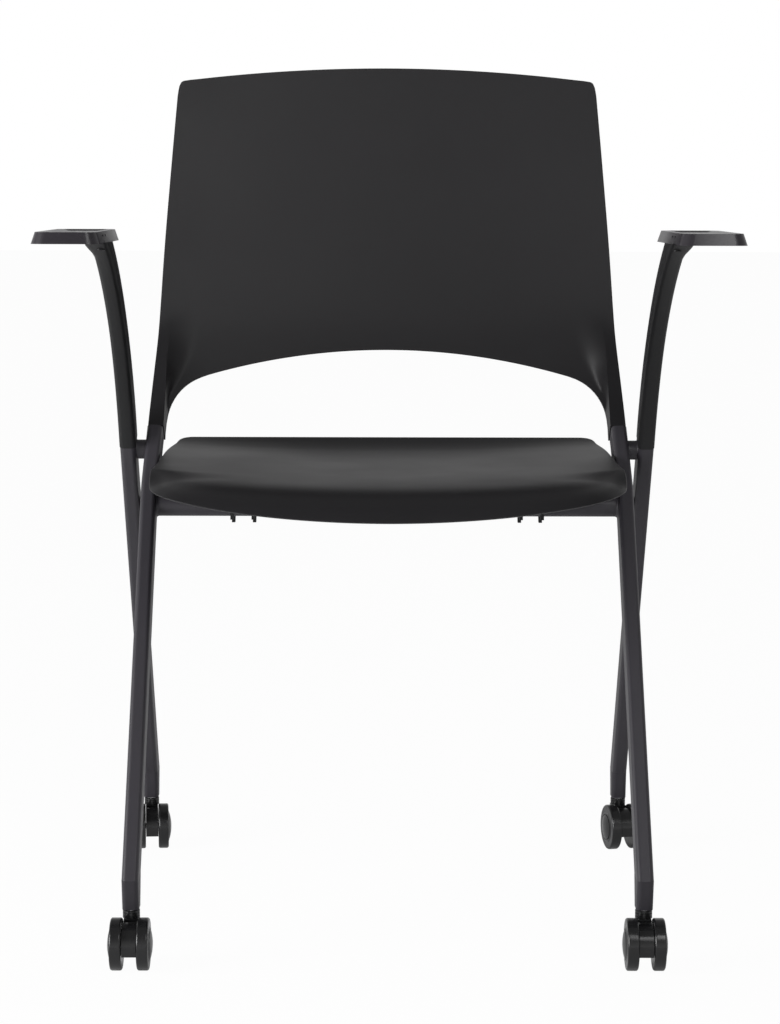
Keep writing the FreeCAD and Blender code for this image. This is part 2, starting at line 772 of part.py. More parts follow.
def above_surface(depth, name):
    """everything above the seat's top, or above a surface sunk below it by a depth"""
    shares = [i / GRID_STEPS for i in range(GRID_STEPS + 1)]
    across = [GRID_HALF_WIDTH * (2 * share - 1) for share in shares]
    lengthwise = [GRID_FRONT_Y + (GRID_REAR_Y - GRID_FRONT_Y) * share for share in shares]
    surface = Part.BSplineSurface()
    surface.interpolate([[seat_point(x, y, depth) for y in lengthwise] for x in across])
    return shape(surface.toShape().extrude(Vector(0, 0, 220)), name)


def above_lip(name):
    """everything above the level where the rolled front ends"""
    level = SEAT_LINE[0][1] - LIP_EDGE
    edge = []
    for x in range(-250, 251, 25):
        dish = size("seat_dish") * (x / size("seat_half_width")) ** 2
        edge.append(Vector(x, -300, level + dish - roll_drop(x)))
    sides = joined(edge[-1], Vector(250, -300, 600), Vector(-250, -300, 600), edge[0])
    face = Part.Face(Part.Wire([spline(edge), *sides]))
    return shape(face.extrude(Vector(0, 500, 0)), name)


def joined(*points):
    return [Part.LineSegment(a, b).toShape() for a, b in zip(points, points[1:])]


def seat_plan():
    """the seat's outline seen from above, as a deep block"""
    side = seat_side_curve()
    last = side.Vertexes[-1].Point
    rear_y = size("seat_rear_y")
    corner = size("seat_rear_corner")
    rear_corner = Vector(last.x - corner, rear_y, 0)
    knuckle = Vector(last.x - corner * 0.29, rear_y - corner * 0.29, 0)
    half = [side, Part.Arc(last, knuckle, rear_corner).toShape(), *joined(rear_corner, Vector(0, rear_y, 0))]
    mirrored = [edge.mirror(Vector(), Vector(1, 0, 0)) for edge in half]
    face = Part.Face(Part.Wire(Part.__sortEdges__(half + mirrored)))
    face.translate(Vector(0, 0, 380))
    return shape(face.extrude(Vector(0, 0, 150)), "seat_plan")


# Seat brackets: each hooks over the rest rail and turns on the hinge rail

SEAT_SCREW_Z = 446
SEAT_SCREW_Y = (-25, 52)
SEAT_SCREW_DEPTH = 11
CAP_SCREW_Z = 403
CAP_SCREW_REACH = 16.7
CAP_SCREW_DEPTH = 12
CAP_EAR = 22
BRACKET_SIDE = [(-40, 480), (-40, 446), (-5.5, 422), (-5.5, 402.5), (2.5, 402.5), (27.5, 395.8),
                (35.5, 395.8), (44, 408), (110, 408), (113, 416), (128, 446), (128, 480)]
# the hollows between a bracket's two ribs: from and to along Y, then their top
BRACKET_POCKETS = {"front": (-60, -5.5, 446), "middle": (35.5, 66, 446), "rear": (110, 150, 446),
                   "low": (-10, 40, 410)}
BELOW_BRACKET_Z = 380


def block(name, x, y, z, x_size, y_size, z_size):
    """a box from one corner; sizes may be formulas"""
    box = doc.addObject("Part::Box", name)
    bind(box, Length=str(x_size), Width=str(y_size), Height=str(z_size))
    box.Placement.Base = Vector(x, y, z)
    return box


def across_x(name, centre_x, y, z, radius, length, length_value):
    """a cylinder along X, centred on a point"""
    start = Vector(centre_x - length_value / 2, y, z)
    return cylinder(name, turned(start, Vector(1, 0, 0), Vector(0, 1, 0)), radius, length)


above_seat = above_surface(size("seat_thickness"), "above_seat")
seat_screws = []
cap_screws = []
rest_pads = []
seat_holes = []
wide = size("bracket_width")
rib = size("rib_width")
rail_y = size("rest_rail_y")
rail_z = size("rest_rail_z")
hinge_y = size("hinge_rail_y")
hinge_z = size("hinge_rail_z")
notch = size("rest_rail_radius") + size("saddle_gap")
pad_low = rail_z + size("rest_rail_radius") + size("moving_gap")
notch_top = pad_low + size("rest_pad_height")
for word, side in SIDES.items():
    middle = side * size("bracket_x")
    low_x = middle - wide / 2
    outline = Part.Face(wire([Vector(low_x, y, z) for y, z in BRACKET_SIDE + BRACKET_SIDE[:1]]))
    solid = shape(outline.extrude(Vector(wide, 0, 0)), "bracket_block_" + word)
    pockets = [block("bracket_pocket_%s_%s" % (name, word), low_x + rib, start, BELOW_BRACKET_Z,
                     wide - 2 * rib, end - start, top - BELOW_BRACKET_Z)
               for name, (start, end, top) in BRACKET_POCKETS.items()]
    pockets.append(block("saddle_" + word, low_x - 1, rail_y - notch, BELOW_BRACKET_Z, wide + 2, 2 * notch,
                         notch_top - BELOW_BRACKET_Z))
    bore = across_x("hinge_bore_" + word, middle, hinge_y, hinge_z,
                    "dims.hinge_rail_radius + dims.running_gap", "dims.bracket_width + 2", wide + 2)

    up = Vector(0, 0, 1)
    holes = []
    for i, y in enumerate(SEAT_SCREW_Y):
        point = Vector(middle, y, SEAT_SCREW_Z)
        name = "seat_screw_%s_%d" % (word, i)
        seat_screws.append(screw(name, point, up, SEAT_SCREW_DEPTH))
        holes.append(screw_hole(name + "_hole", point, up, SEAT_SCREW_DEPTH))
    seat_holes += holes
    cap_holes = []
    for i, reach in enumerate((-CAP_SCREW_REACH, CAP_SCREW_REACH)):
        point = Vector(middle, hinge_y + reach, CAP_SCREW_Z)
        name = "cap_screw_%s_%d" % (word, i)
        cap_screws.append(screw(name, point, up, CAP_SCREW_DEPTH))
        cap_holes.append(screw_hole(name + "_hole", point, up, CAP_SCREW_DEPTH))

    under_seat = cut(solid, above_seat, "bracket_trimmed_" + word)
    opened = cut(under_seat, fuse(pockets, "bracket_pockets_" + word), "bracket_opened_" + word)
    bored = cut(opened, bore, "bracket_bored_" + word)
    keep(cut(bored, group(holes + cap_holes, "bracket_holes_" + word), "bracket_cut_" + word),
         "seat_bracket_" + word)

    disc = across_x("hinge_cap_disc_" + word, middle, hinge_y, hinge_z,
                    "dims.hinge_rail_radius + dims.hinge_wall", "dims.bracket_width", wide)
    ears = block("hinge_cap_ears_" + word, low_x, hinge_y - CAP_EAR, CAP_SCREW_Z, wide, 2 * CAP_EAR,
                 hinge_z - CAP_SCREW_Z)
    upper = block("hinge_cap_upper_" + word, low_x - 1, hinge_y - 40, hinge_z, wide + 2, 80, 40)
    lower_half = cut(fuse([disc, ears], "hinge_cap_whole_" + word), upper, "hinge_cap_half_" + word)
    cap_bored = cut(lower_half, bore, "hinge_cap_bored_" + word)
    keep(cut(cap_bored, group(cap_holes, "hinge_cap_holes_" + word), "hinge_cap_cut_" + word),
         "hinge_cap_" + word)
    rest_pads.append(block("rest_pad_" + word, low_x + 1, rail_y - 10, pad_low,
                           "dims.bracket_width - 2", 20, "dims.rest_pad_height"))

seat_block = common([above_surface(size("seat_thickness"), "above_underside"), seat_plan()], "seat_block")
rolled = common([seat_block, above_lip("above_lip")], "seat_rolled")
shell = cut(rolled, above_surface(0, "above_top"), "seat_shell_trimmed")
keep(cut(shell, group(seat_holes, "seat_holes"), "seat_cut"), "seat_shell")
keep(group(seat_screws, "seat_screw_set"), "seat_screws")
keep(group(cap_screws, "cap_screw_set"), "cap_screws")
keep(group(rest_pads, "rest_pad_set"), "rest_pads")


# Casters: a ferrule in each leg's foot, a stem, and a fork with two wheels on one axle

CORNERS = {
    "front_left": (-size("front_stem_x"), size("front_stem_y"), 0),
    "front_right": (size("front_stem_x"), size("front_stem_y"), 0),
    "rear_left": (-size("rear_stem_x"), size("rear_stem_y"), size("rear_left_yaw")),
    "rear_right": (size("rear_stem_x"), size("rear_stem_y"), size("rear_right_yaw")),
}
FERRULE_PLUG = 40
PIN_LOW_Z = 28
STEM_HIGH_Z = 85
AXLE_HALF = 16
WHEEL_BOSS_RADIUS = 6


def upright(place, z):
    """a placement at a height on the stem's axis, with its own X pointing up"""
    return place.multiply(Placement(Vector(0, 0, z), Rotation(Vector(0, 1, 0), -90)))


def along_axle(place):
    return place.multiply(Placement(Vector(0, -size("caster_trail"), size("wheel_radius")), Rotation()))


def ferrule(corner, x, y, up):
    """a moulded foot: tapers below the leg, plugs into its bore and takes the stem"""
    body = new_body("ferrule_foot_" + corner)
    low = sketch_at(body, "ferrule_low_" + corner, Placement(Vector(x, y, size("ferrule_low_z")), Rotation()))
    low_radius = size("tube_corner")
    rounded_rectangle(low, "dims.tube_width", "dims.ferrule_low_depth", "dims.tube_corner",
                      (size("tube_width"), size("ferrule_low_depth"), low_radius))
    high = sketch_at(body, "ferrule_high_" + corner, Placement(Vector(x, y, CUT_Z), Rotation()))
    rounded_rectangle(high, "dims.tube_width", "dims.tube_depth / %.6f" % up.z, "dims.tube_corner",
                      (size("tube_width"), size("tube_depth") / up.z, low_radius))
    loft(body, [low, high], "ferrule_loft_" + corner)
    foot = Vector(x, y, CUT_Z)
    raw_plug = plug("ferrule_plug_" + corner, foot + up * FERRULE_PLUG, up, FERRULE_PLUG + FOOT_BELOW)
    level_plug = cut(raw_plug, below_cut("ferrule_level_" + corner), "ferrule_plug_cut_" + corner)
    socket = cylinder("stem_socket_" + corner, Placement(Vector(x, y, 50), Rotation()),
                      "dims.stem_radius", str(STEM_HIGH_Z - 50))
    return cut(fuse([body, level_plug], "ferrule_whole_" + corner), socket, "ferrule_cut_" + corner)


def caster_stem(corner, place):
    pin = size("stem_pin_radius")
    flange = size("stem_flange_radius")
    shank = size("stem_radius")
    flange_z = size("collar_high_z") + size("moving_gap")
    shank_z = size("ferrule_low_z")
    chamfer = 0.8
    outline = closed(Vector(PIN_LOW_Z, 0, 0), Vector(PIN_LOW_Z, pin - chamfer, 0),
                     Vector(PIN_LOW_Z + chamfer, pin, 0), Vector(flange_z, pin, 0),
                     Vector(flange_z, flange, 0), Vector(shank_z, flange, 0), Vector(shank_z, shank, 0),
                     Vector(STEM_HIGH_Z, shank, 0), Vector(STEM_HIGH_Z, 0, 0))
    return revolved("stem_" + corner, upright(place, 0), outline)


def caster_fork(corner, place):
    width = size("fork_width")
    collar = size("collar_radius")
    low = size("collar_low_z")
    high = size("collar_high_z")
    groove = 0.5
    axis = along_axle(place)
    across = Placement(Vector(-width / 2, 0, 0), Rotation(Vector(0, 1, 0), 90))
    disc = cylinder("fork_disc_" + corner, axis.multiply(across), "dims.fork_radius", "dims.fork_width")
    neck = doc.addObject("Part::Box", "fork_neck_" + corner)
    bind(neck, Length="dims.fork_width", Width="2 * dims.collar_radius", Height=str(low - 25))
    neck.Placement = place.multiply(Placement(Vector(-width / 2, -collar, 25), Rotation()))
    ring = [Vector(low, 0, 0), Vector(low, collar, 0)]
    for z in (low + 2.2, low + 5):
        ring += [Vector(z, collar, 0), Vector(z + 0.2, collar - groove, 0),
                 Vector(z + 0.8, collar - groove, 0), Vector(z + 1, collar, 0)]
    ring += [Vector(high - 0.4, collar, 0), Vector(high, collar - 0.4, 0), Vector(high, 0, 0)]
    collar_body = revolved("fork_collar_" + corner, upright(place, 0), closed(*ring))
    below = doc.addObject("Part::Box", "fork_below_" + corner)
    bind(below, Length="60", Width="80", Height="dims.fork_low_z")
    below.Placement = place.multiply(Placement(Vector(-30, -60, 0), Rotation()))
    pin_hole = cylinder("pin_hole_" + corner,
                        place.multiply(Placement(Vector(0, 0, PIN_LOW_Z - 0.1), Rotation())),
                        "dims.stem_pin_radius + dims.running_gap", "40")
    axle_hole = cylinder("axle_hole_" + corner, axis.multiply(Placement(
        Vector(-width, 0, 0), Rotation(Vector(0, 1, 0), 90))), "dims.axle_radius", "2 * dims.fork_width")
    solid = fuse([disc, neck, collar_body], "fork_whole_" + corner)
    return cut(solid, fuse([below, pin_hole, axle_hole], "fork_voids_" + corner), "fork_cut_" + corner)


def wheel_outline(way):
    """half section of a wheel, from the axle out, on one side of the fork"""
    inner = size("fork_width") / 2 + size("wheel_side_gap")
    outer = inner + size("wheel_width")
    edge = size("wheel_edge")
    tread = size("wheel_radius")
    bore = size("axle_radius") + size("running_gap")
    seat_x = outer - 2
    web_x = inner + 3.8
    bend = edge * (1 - math.cos(math.pi / 4))

    def at(x, r):
        return Vector(way * x, r, 0)

    return [
        Part.LineSegment(at(inner, bore), at(inner, tread - edge)),
        Part.Arc(at(inner, tread - edge), at(inner + bend, tread - bend), at(inner + edge, tread)),
        Part.LineSegment(at(inner + edge, tread), at(outer - edge, tread)),
        Part.Arc(at(outer - edge, tread), at(outer - bend, tread - bend), at(outer, tread - edge)),
        Part.LineSegment(at(outer, tread - edge), at(outer, size("cap_radius"))),
        Part.LineSegment(at(outer, size("cap_radius")), at(seat_x, size("cap_radius"))),
        Part.LineSegment(at(seat_x, size("cap_radius")), at(seat_x, 15)),
        Part.LineSegment(at(seat_x, 15), at(web_x, 15)),
        Part.LineSegment(at(web_x, 15), at(web_x, WHEEL_BOSS_RADIUS)),
        Part.LineSegment(at(web_x, WHEEL_BOSS_RADIUS), at(AXLE_HALF, WHEEL_BOSS_RADIUS)),
        Part.LineSegment(at(AXLE_HALF, WHEEL_BOSS_RADIUS), at(AXLE_HALF, bore)),
        Part.LineSegment(at(AXLE_HALF, bore), at(inner, bore)),
    ]


def cap_outline(way):
    """half section of a domed hub cap with one ring groove"""
    outer = size("fork_width") / 2 + size("wheel_side_gap") + size("wheel_width")
    radius = size("cap_radius") - size("running_gap")
    rise = size("cap_rise")

    sphere = (radius ** 2 + rise ** 2) / (2 * rise)
    flat = 1

    def dome(r):
        return Vector(way * (outer + rise - sphere + math.sqrt(sphere ** 2 - r ** 2)), r, 0)

    groove_out = Vector(way * (outer + 0.2), 14.9, 0)
    groove_in = Vector(way * (outer + 0.2), 14.1, 0)
    rim = Vector(way * outer, radius, 0)
    low = Vector(way * (outer - 2), radius, 0)
    middle = Vector(way * (outer - 2), 0, 0)
    return [
        Part.LineSegment(middle, low),
        Part.LineSegment(low, rim),
        Part.Arc(rim, dome(16.3), dome(15.1)),
        Part.LineSegment(dome(15.1), groove_out),
        Part.LineSegment(groove_out, groove_in),
        Part.LineSegment(groove_in, dome(13.9)),
        Part.Arc(dome(13.9), dome(7), dome(flat)),
        Part.LineSegment(dome(flat), Vector(dome(flat).x, 0, 0)),
        Part.LineSegment(Vector(dome(flat).x, 0, 0), middle),
    ]


for corner, (x, y, yaw) in CORNERS.items():
    side = 1 if x > 0 else -1
    place = Placement(Vector(x, y, 0), Rotation(Vector(0, 0, 1), yaw))
    up = FRONT_UP if corner.startswith("front") else rear_path(side)[2]
    keep(ferrule(corner, x, y, up), "ferrule_" + corner)
    keep(caster_stem(corner, place), "caster_stem_" + corner)
    keep(caster_fork(corner, place), "caster_fork_" + corner)
    axle_start = along_axle(place).multiply(Placement(Vector(-AXLE_HALF, 0, 0), Rotation(Vector(0, 1, 0), 90)))
    keep(cylinder("axle_bar_" + corner, axle_start, "dims.axle_radius", str(2 * AXLE_HALF)),
         "caster_axle_" + corner)
    for word, way in (("outer", side), ("inner", -side)):
        tail = "%s_%s" % (corner, word)
        keep(revolved("wheel_" + tail, along_axle(place), wheel_outline(way)), "caster_wheel_" + tail)
        keep(revolved("cap_" + tail, along_axle(place), cap_outline(way)), "caster_cap_" + tail)


# Check and write

doc.recompute()
faults = ["%s: %s" % (thing.Name, ", ".join(thing.State)) for thing in doc.Objects
          if "Invalid" in thing.State or "Error" in thing.State]
for part in parts:
    if part.Shape.isNull() or not part.Shape.isValid() or not part.Shape.Solids:
        faults.append(part.Label + ": no valid solid")
if faults:
    raise RuntimeError("; ".join(faults))
os.makedirs("parts", exist_ok=True)
for part in parts:
    part.Shape.exportStep("parts/%s.step" % part.Label)
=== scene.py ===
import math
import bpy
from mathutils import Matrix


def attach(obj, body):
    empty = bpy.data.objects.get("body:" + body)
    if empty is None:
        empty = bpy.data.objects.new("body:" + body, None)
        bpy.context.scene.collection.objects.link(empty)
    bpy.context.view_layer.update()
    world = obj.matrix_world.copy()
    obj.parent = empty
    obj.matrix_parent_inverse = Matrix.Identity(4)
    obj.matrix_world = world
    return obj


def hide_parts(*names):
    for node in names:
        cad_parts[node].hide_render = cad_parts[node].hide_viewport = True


bl_info = {
    "name": "Nesting Chair",
    "version": (1, 0, 0),
    "blender": (4, 5, 0),
    "location": "View3D > Sidebar > Chair",
    "description": "Dresses the packed nesting chair: moulded seat and back, steel sides, arms and casters",
    "category": "Add Mesh",
}

import bmesh
import bpy
from bpy.props import FloatProperty, FloatVectorProperty, PointerProperty
from bpy.types import Operator, Panel, PropertyGroup
from mathutils import Matrix, Vector

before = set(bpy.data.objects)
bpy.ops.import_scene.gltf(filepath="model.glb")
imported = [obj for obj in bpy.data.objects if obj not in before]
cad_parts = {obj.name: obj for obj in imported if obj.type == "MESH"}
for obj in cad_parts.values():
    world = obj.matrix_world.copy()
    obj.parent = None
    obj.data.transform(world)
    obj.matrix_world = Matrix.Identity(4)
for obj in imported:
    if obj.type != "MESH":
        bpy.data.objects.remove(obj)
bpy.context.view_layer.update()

MM = 0.001
SIDES = {"left": -1, "right": 1}
CORNERS = ("front_left", "front_right", "rear_left", "rear_right")


def from_hex(text):
    """an sRGB hex colour as linear red, green and blue"""
    channels = [int(text[i:i + 2], 16) / 255 for i in (0, 2, 4)]
    return [c / 12.92 if c <= 0.04045 else ((c + 0.055) / 1.055) ** 2.4 for c in channels]


def length(name, default, description):
    return FloatProperty(name=name, default=default, unit="LENGTH", precision=4, description=description)


def colour(name, text, description):
    return FloatVectorProperty(name=name, default=from_hex(text), subtype="COLOR", size=3, min=0, max=1,
                               description=description)


class ChairSizes(PropertyGroup):
    seat_thickness: length("Seat thickness", 0.008, "Wall of the moulded seat")
    seat_rim: length("Seat rim", 0.0022, "Rounding of the seat's edge")
    back_thickness: length("Back thickness", 0.005, "Wall of the moulded back")
    back_rim: length("Back rim", 0.0024, "Rounding of the back's edge")
    pad_rim: length("Pad rim", 0.0026, "Rounding of an arm pad's edges")
    pad_dish: length("Pad dish", 0.0016, "Depth of the shallow dish in an arm pad")
    grain: length("Moulded grain", 0.0011, "Size of the grain moulded into the plastic")
    orange_peel: length("Orange peel", 0.0022, "Size of the ripples in the powder coat")


class ChairColours(PropertyGroup):
    shell: colour("Shell", "1d1c1e", "Seat and back")
    steel: colour("Steel", "37353a", "Powder coat on the tubes")
    arm: colour("Arm", "1e1e1f", "Arm posts")
    pad: colour("Pad", "2a272c", "Arm pads")
    ferrule: colour("Ferrule", "333136", "Tube ends")
    caster: colour("Caster", "161617", "Forks and wheels")
    screw: colour("Screw", "1c1c1d", "Blackened screws")
    zinc: colour("Zinc", "c6c6c8", "Plated stems and axles")


class StudioSettings(PropertyGroup):
    lens: FloatProperty(name="Lens", default=97.11, unit="CAMERA", description="Focal length in millimetres")
    eye: FloatVectorProperty(name="Eye", default=(-0.018, -2.808, 0.7392), subtype="TRANSLATION",
                             description="Place of the camera")
    pitch: FloatProperty(name="Pitch", default=math.radians(6.685), subtype="ANGLE",
                         description="How far the camera looks down")
    yaw: FloatProperty(name="Yaw", default=math.radians(0.425), subtype="ANGLE",
                       description="How far the camera turns to its right")
    roll: FloatProperty(name="Roll", default=math.radians(0.16), subtype="ANGLE",
                        description="How far the camera tips to its left")
    floor_tone: colour("Floor", "f6f6f7", "Colour of the floor")
    floor_veil: FloatProperty(name="Floor veil", default=0.97, subtype="FACTOR", min=0, max=1,
                              description="How much of the floor the camera sees as plain white")
    wall_light: FloatProperty(name="Wall light", default=0.86, min=0, max=1,
                              description="Strength of the even light from the sides")
    ceiling_light: FloatProperty(name="Ceiling light", default=0.1, min=0, max=1,
                                 description="Strength of the even light from above")
    mirrored_share: FloatProperty(name="Mirrored share", default=0.15, subtype="FACTOR", min=0, max=1,
                                  description="How white the surroundings look in reflections")
    key_power: FloatProperty(name="Key power", default=12, unit="POWER",
                             description="Power of the high lamp")
    side_power: FloatProperty(name="Side power", default=62, unit="POWER",
                              description="Power of the left lamp")


# Materials

# most of a noise lies between these two values
NOISE_LOW = 0.3
NOISE_HIGH = 0.7
GRAIN_DEPTH = 0.0002
FLOW_DEPTH = 0.0003


def add(tree, kind, settings=None, inputs=None):
    """a new node; an input given as (node, socket) is linked, any other value is set"""
    node = tree.nodes.new(kind)
    for key, value in (settings or {}).items():
        setattr(node, key, value)
    for key, value in (inputs or {}).items():
        if isinstance(value, tuple) and isinstance(value[0], bpy.types.Node):
            tree.links.new(value[0].outputs[value[1]], node.inputs[key])
        else:
            node.inputs[key].default_value = value
    return node


def new_material(name):
    material = bpy.data.materials.new(name)
    material.use_nodes = True
    material.node_tree.nodes.clear()
    return material, material.node_tree


def finish_surface(tree, shader):
    add(tree, "ShaderNodeOutputMaterial", inputs={"Surface": (shader, 0)})


def object_noise(tree, scale, detail, roughness=0.5):
    """a noise fixed to the piece"""
    place = add(tree, "ShaderNodeTexCoord")
    return add(tree, "ShaderNodeTexNoise", inputs={
        "Vector": (place, "Object"), "Scale": scale, "Detail": detail, "Roughness": roughness})


def follow(tree, noise, low, high):
    """a value that runs from low to high with a noise"""
    return add(tree, "ShaderNodeMapRange", inputs={
        "Value": (noise, 0), "From Min": NOISE_LOW, "From Max": NOISE_HIGH, "To Min": low, "To Max": high})


def varied_colour(tree, colour_value, noise, low, high):
    """the colour a little darker and lighter where a noise is low and high"""
    value = follow(tree, noise, low, high)
    return add(tree, "ShaderNodeHueSaturation", inputs={"Value": (value, 0), "Color": (*colour_value, 1)})


def relief(tree, noise, strength, depth):
    return add(tree, "ShaderNodeBump", inputs={"Height": (noise, 0), "Strength": strength, "Distance": depth})


def moulded_plastic(name, colour_value, grain, roughness=0.46, specular=0.32):
    """Plastic, injection moulded in a spark-eroded tool: a fine even grain that softens every
    highlight, and slow patches where the grain shines a little more."""
    material, tree = new_material(name)
    patches = object_noise(tree, 9.0, 3.0)
    pits = object_noise(tree, 1 / grain, 2.0, 0.6)
    shade = varied_colour(tree, colour_value, patches, 0.94, 1.06)
    gloss = follow(tree, patches, roughness - 0.03, roughness + 0.03)
    bump = relief(tree, pits, 0.22, GRAIN_DEPTH)
    shader = add(tree, "ShaderNodeBsdfPrincipled", inputs={
        "Base Color": (shade, 0), "Roughness": (gloss, 0), "Normal": (bump, 0), "IOR": 1.49,
        "Specular IOR Level": specular})
    finish_surface(tree, shader)
    return material


def powder_coat(name, colour_value, ripple):
    """Polyester powder coat on steel tube: satin, with the fine orange peel of a cured powder."""
    material, tree = new_material(name)
    peel = object_noise(tree, 1 / ripple, 1.5, 0.45)
    drift = object_noise(tree, 7.0, 2.0)
    shade = varied_colour(tree, colour_value, drift, 0.95, 1.05)
    bump = relief(tree, peel, 0.16, GRAIN_DEPTH)
    shader = add(tree, "ShaderNodeBsdfPrincipled", inputs={
        "Base Color": (shade, 0), "Roughness": 0.4, "Normal": (bump, 0), "IOR": 1.5,
        "Specular IOR Level": 0.42})
    finish_surface(tree, shader)
    return material


def gloss_nylon(name, colour_value):
    """Nylon, moulded in a polished tool: dark and shiny, with faint flow marks in its gloss."""
    material, tree = new_material(name)
    flow = object_noise(tree, 120.0, 3.0)
    gloss = follow(tree, flow, 0.16, 0.26)
    bump = relief(tree, flow, 0.05, FLOW_DEPTH)
    shader = add(tree, "ShaderNodeBsdfPrincipled", inputs={
        "Base Color": (*colour_value, 1), "Roughness": (gloss, 0), "Normal": (bump, 0), "IOR": 1.53})
    finish_surface(tree, shader)
    return material


def uneven_metal(name, colour_value, metallic, scale, low, high):
    """Bare or treated metal, with a fine unevenness in its gloss."""
    material, tree = new_material(name)
    gloss = follow(tree, object_noise(tree, scale, 2.0), low, high)
    shader = add(tree, "ShaderNodeBsdfPrincipled", inputs={
        "Base Color": (*colour_value, 1), "Metallic": metallic, "Roughness": (gloss, 0)})
    finish_surface(tree, shader)
    return material


def plated_steel(name, colour_value):
    """Zinc-plated turned steel: bright, with the fine marks left by the lathe."""
    return uneven_metal(name, colour_value, 1.0, 900.0, 0.18, 0.32)


def black_oxide(name, colour_value):
    """Blackened steel of the screws: dark, slightly oily, with a soft metal sheen."""
    return uneven_metal(name, colour_value, 0.7, 400.0, 0.3, 0.48)


def soft_rubber(name, colour_value):
    """Moulded rubber: matt and dark, with a fine dusty unevenness."""
    material, tree = new_material(name)
    shade = varied_colour(tree, colour_value, object_noise(tree, 700.0, 2.0), 0.85, 1.15)
    shader = add(tree, "ShaderNodeBsdfPrincipled", inputs={
        "Base Color": (shade, 0), "Roughness": 0.8, "IOR": 1.52})
    finish_surface(tree, shader)
    return material


def cover(nodes, material):
    """give every named node one material"""
    for node in nodes:
        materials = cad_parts[node].data.materials
        materials.clear()
        materials.append(material)


# Shapes

CHAIN_STEPS = 12
MERGE_DISTANCE = 0.01
SMOOTH_ANGLE = 40
RIM_SEGMENTS = 3


def stations(low, high, count):
    """evenly spaced values from low to high, with both ends"""
    return [low + (high - low) * i / count for i in range(count + 1)]


def mirrored(chain):
    return [Vector((-point.x, point.y)) for point in chain]


def along(points, count):
    """evenly spaced points along a chain of points"""
    steps = [(b - a).length for a, b in zip(points, points[1:])]
    total = sum(steps)
    spread = []
    index = 0
    passed = 0.0
    for i in range(count):
        target = total * i / (count - 1)
        while index < len(steps) - 1 and passed + steps[index] < target:
            passed += steps[index]
            index += 1
        share = (target - passed) / steps[index]
        spread.append(points[index].lerp(points[index + 1], min(share, 1.0)))
    return spread


def smooth_chain(pairs):
    """a smooth curve through a few points, as a dense chain"""
    points = [Vector(pair) for pair in pairs]
    ends = [points[0] * 2 - points[1], *points, points[-1] * 2 - points[-2]]
    chain = []
    for a, b, c, d in zip(ends, ends[1:], ends[2:], ends[3:]):
        for i in range(CHAIN_STEPS):
            t = i / CHAIN_STEPS
            chain.append(0.5 * (2 * b + (c - a) * t + (2 * a - 5 * b + 4 * c - d) * t ** 2
                                + (3 * b - a - 3 * c + d) * t ** 3))
    return chain + [points[-1].copy()]


def arc(centre, radius, start, end, steps):
    """points on a circle between two angles in degrees"""
    angles = [math.radians(angle) for angle in stations(start, end, steps)]
    return [centre + Vector((math.cos(a), math.sin(a))) * radius for a in angles]


def fill_patch(low, high, left, right, across, up):
    """a grid between four chains that meet at its corners, as a bmesh of flat (x, y) points"""
    low, high = along(low, across + 1), along(high, across + 1)
    left, right = along(left, up + 1), along(right, up + 1)
    shape = bmesh.new()
    bmesh.ops.create_grid(shape, x_segments=across, y_segments=up, size=1)
    for vert in shape.verts:
        i = round((vert.co.x + 1) / 2 * across)
        j = round((vert.co.y + 1) / 2 * up)
        u, v = i / across, j / up
        edges = low[i].lerp(high[i], v) + left[j].lerp(right[j], u)
        corners = low[0].lerp(low[-1], u).lerp(high[0].lerp(high[-1], u), v)
        vert.co.xy = edges - corners
    return shape


def join_in(shape, part, turn=None):
    """add one bmesh to another, and free it"""
    mesh = bpy.data.meshes.new("part")
    part.to_mesh(mesh)
    part.free()
    if turn:
        mesh.transform(turn)
    shape.from_mesh(mesh)
    bpy.data.meshes.remove(mesh)


def close_rim(shape, weight_at):
    """bridge the two open rims of a wall, and give their edges a bevel weight"""
    weight = shape.edges.layers.float.new("bevel_weight_edge")
    open_edges = [edge for edge in shape.edges if edge.is_boundary]
    walls = set(bmesh.ops.bridge_loops(shape, edges=open_edges)["faces"])
    bmesh.ops.recalc_face_normals(shape, faces=shape.faces)
    for edge in shape.edges:
        middle = (edge.verts[0].co + edge.verts[1].co) / 2
        edge[weight] = weight_at(middle) if len(walls.intersection(edge.link_faces)) == 1 else 0.0
    return weight


def smooth_step(value):
    t = min(max(value, 0.0), 1.0)
    return t * t * (3 - 2 * t)


def through(pairs, at):
    """the smooth curve through (position, value) pairs, read at one position"""
    chain = [Vector(pair) for pair in pairs]
    index = max(i for i, point in enumerate(chain[:-1]) if i == 0 or point.x <= at)
    b, c = chain[index], chain[index + 1]
    a = chain[index - 1] if index else b * 2 - c
    d = chain[index + 2] if index + 2 < len(chain) else c * 2 - b
    span = c.x - b.x
    t = (at - b.x) / span
    slope_b = (c.y - a.y) / (c.x - a.x) * span
    slope_c = (d.y - b.y) / (d.x - b.x) * span
    return ((2 * t ** 3 - 3 * t ** 2 + 1) * b.y + (t ** 3 - 2 * t ** 2 + t) * slope_b
            + (3 * t ** 2 - 2 * t ** 3) * c.y + (t ** 3 - t ** 2) * slope_c)


def new_piece(name, shape, body, material, nodes):
    """a bmesh in millimetres as a finished piece that rides on a body and stands for CAD nodes"""
    mesh = bpy.data.meshes.new(name)
    bmesh.ops.scale(shape, vec=(MM, MM, MM), verts=shape.verts)
    shape.to_mesh(mesh)
    shape.free()
    mesh.shade_smooth()
    mesh.set_sharp_from_angle(angle=math.radians(SMOOTH_ANGLE))
    mesh.materials.append(material)
    piece = bpy.data.objects.new(name, mesh)
    bpy.context.scene.collection.objects.link(piece)
    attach(piece, body)
    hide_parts(*nodes)
    return piece


